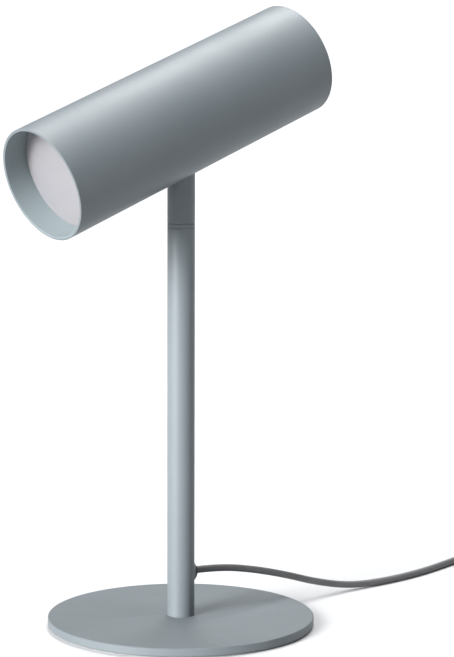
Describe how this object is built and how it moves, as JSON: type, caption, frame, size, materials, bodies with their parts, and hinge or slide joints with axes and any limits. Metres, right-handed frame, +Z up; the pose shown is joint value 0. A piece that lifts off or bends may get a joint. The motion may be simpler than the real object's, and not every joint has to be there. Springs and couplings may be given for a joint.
{
  "type": "desk lamp",
  "caption": "Desk lamp with a tubular shade that swivels and tilts on a plain stem, a flat round foot and a mains cord with an in-line switch.",
  "frame": {"origin": "centre of the foot's underside, on the stem's axis, on the table", "axes": "+Z up along the stem; the light opening faces -Y and tilts down from it; the cord leaves the stem towards +Y; +X is the side of the tilt bolt's head"},
  "size_m": [0.2782, 0.4696, 0.4067],
  "materials": {
    "painted_steel": "satin grey-blue powder coat on steel",
    "painted_aluminium": "satin grey-blue powder coat on aluminium",
    "pad_foam_rubber": "fine-cell anti-slip foam rubber",
    "grommet_rubber": "moulded grey rubber",
    "zinc_steel": "bright zinc-plated steel",
    "painted_screw_steel": "steel screws painted like the shade",
    "bearing_nylon": "natural nylon",
    "cast_aluminium": "raw die-cast and milled aluminium",
    "cord_sheath": "matt dark grey sheath",
    "tie_fabric": "woven hook-and-loop strap",
    "dark_plastic": "fine-textured moulded plastic",
    "contact_brass": "bright brass",
    "nickel_plated_brass": "nickel-plated brass",
    "circuit_board": "white solder mask",
    "led_phosphor": "clear silicone over yellow phosphor",
    "white_plastic": "white polycarbonate",
    "opal_diffuser": "satin opal acrylic",
    "lead_insulation": "silicone insulation"
  },
  "bodies": {
    "stand": {"base_pad": "pad_foam_rubber", "base_plate": "painted_steel", "base_screw": "zinc_steel", "stem_foot": "zinc_steel", "locating_dowel": "zinc_steel", "stem_tube": "painted_steel", "cord_grommet": "grommet_rubber", "cord_clamp": "bearing_nylon", "inner_cord": "cord_sheath", "stem_bush": "zinc_steel", "stop_pin": "zinc_steel", "swivel_nipple": "zinc_steel", "swivel_ring": "painted_steel", "swivel_washer": "zinc_steel", "lock_nut": "zinc_steel", "power_cord_lamp": "cord_sheath", "power_cord_coil_lead": "cord_sheath", "cord_coil": "cord_sheath", "cord_tie": "tie_fabric", "power_cord_plug_lead": "cord_sheath", "switch_base": "dark_plastic", "switch_cover": "dark_plastic", "switch_screws": "zinc_steel", "switch_contacts": "contact_brass", "plug_body": "dark_plastic", "plug_pins": "nickel_plated_brass", "plug_pin_sleeves": "dark_plastic"},
    "neck": {"neck_bush": "bearing_nylon", "neck_tube": "painted_steel", "knuckle": "zinc_steel"},
    "head": {"tilt_washers": "bearing_nylon", "pivot_bolt": "zinc_steel", "spring_washer": "zinc_steel", "pivot_nut": "zinc_steel", "head_bracket": "cast_aluminium", "shade_tube": "painted_aluminium", "shade_screws": "painted_screw_steel", "rear_cap": "painted_aluminium", "heat_sink": "cast_aluminium", "board_screws": "zinc_steel", "led_board": "circuit_board", "led_chips": "led_phosphor", "light_chamber": "white_plastic", "diffuser": "opal_diffuser", "led_driver": "white_plastic", "driver_screws": "zinc_steel", "driver_leads": "lead_insulation"},
    "rocker": {"switch_rocker": "dark_plastic"}
  },
  "joints": [
    {"name": "head_swivel", "type": "hinge", "parent": "stand", "child": "neck", "pos_m": [0, 0, 0.2668], "axis": [0, 0, 1], "range_deg": [-160, 160]},
    {"name": "head_tilt", "type": "hinge", "parent": "neck", "child": "head", "pos_m": [0, 0, 0.337], "axis": [1, 0, 0], "range_deg": [-35, 25]},
    {"name": "switch_rocker_tip", "type": "hinge", "parent": "stand", "child": "rocker", "pos_m": [0.066, 0.333, 0.012], "axis": [0, 1, 0], "range_deg": [-12, 0]}
  ]
}
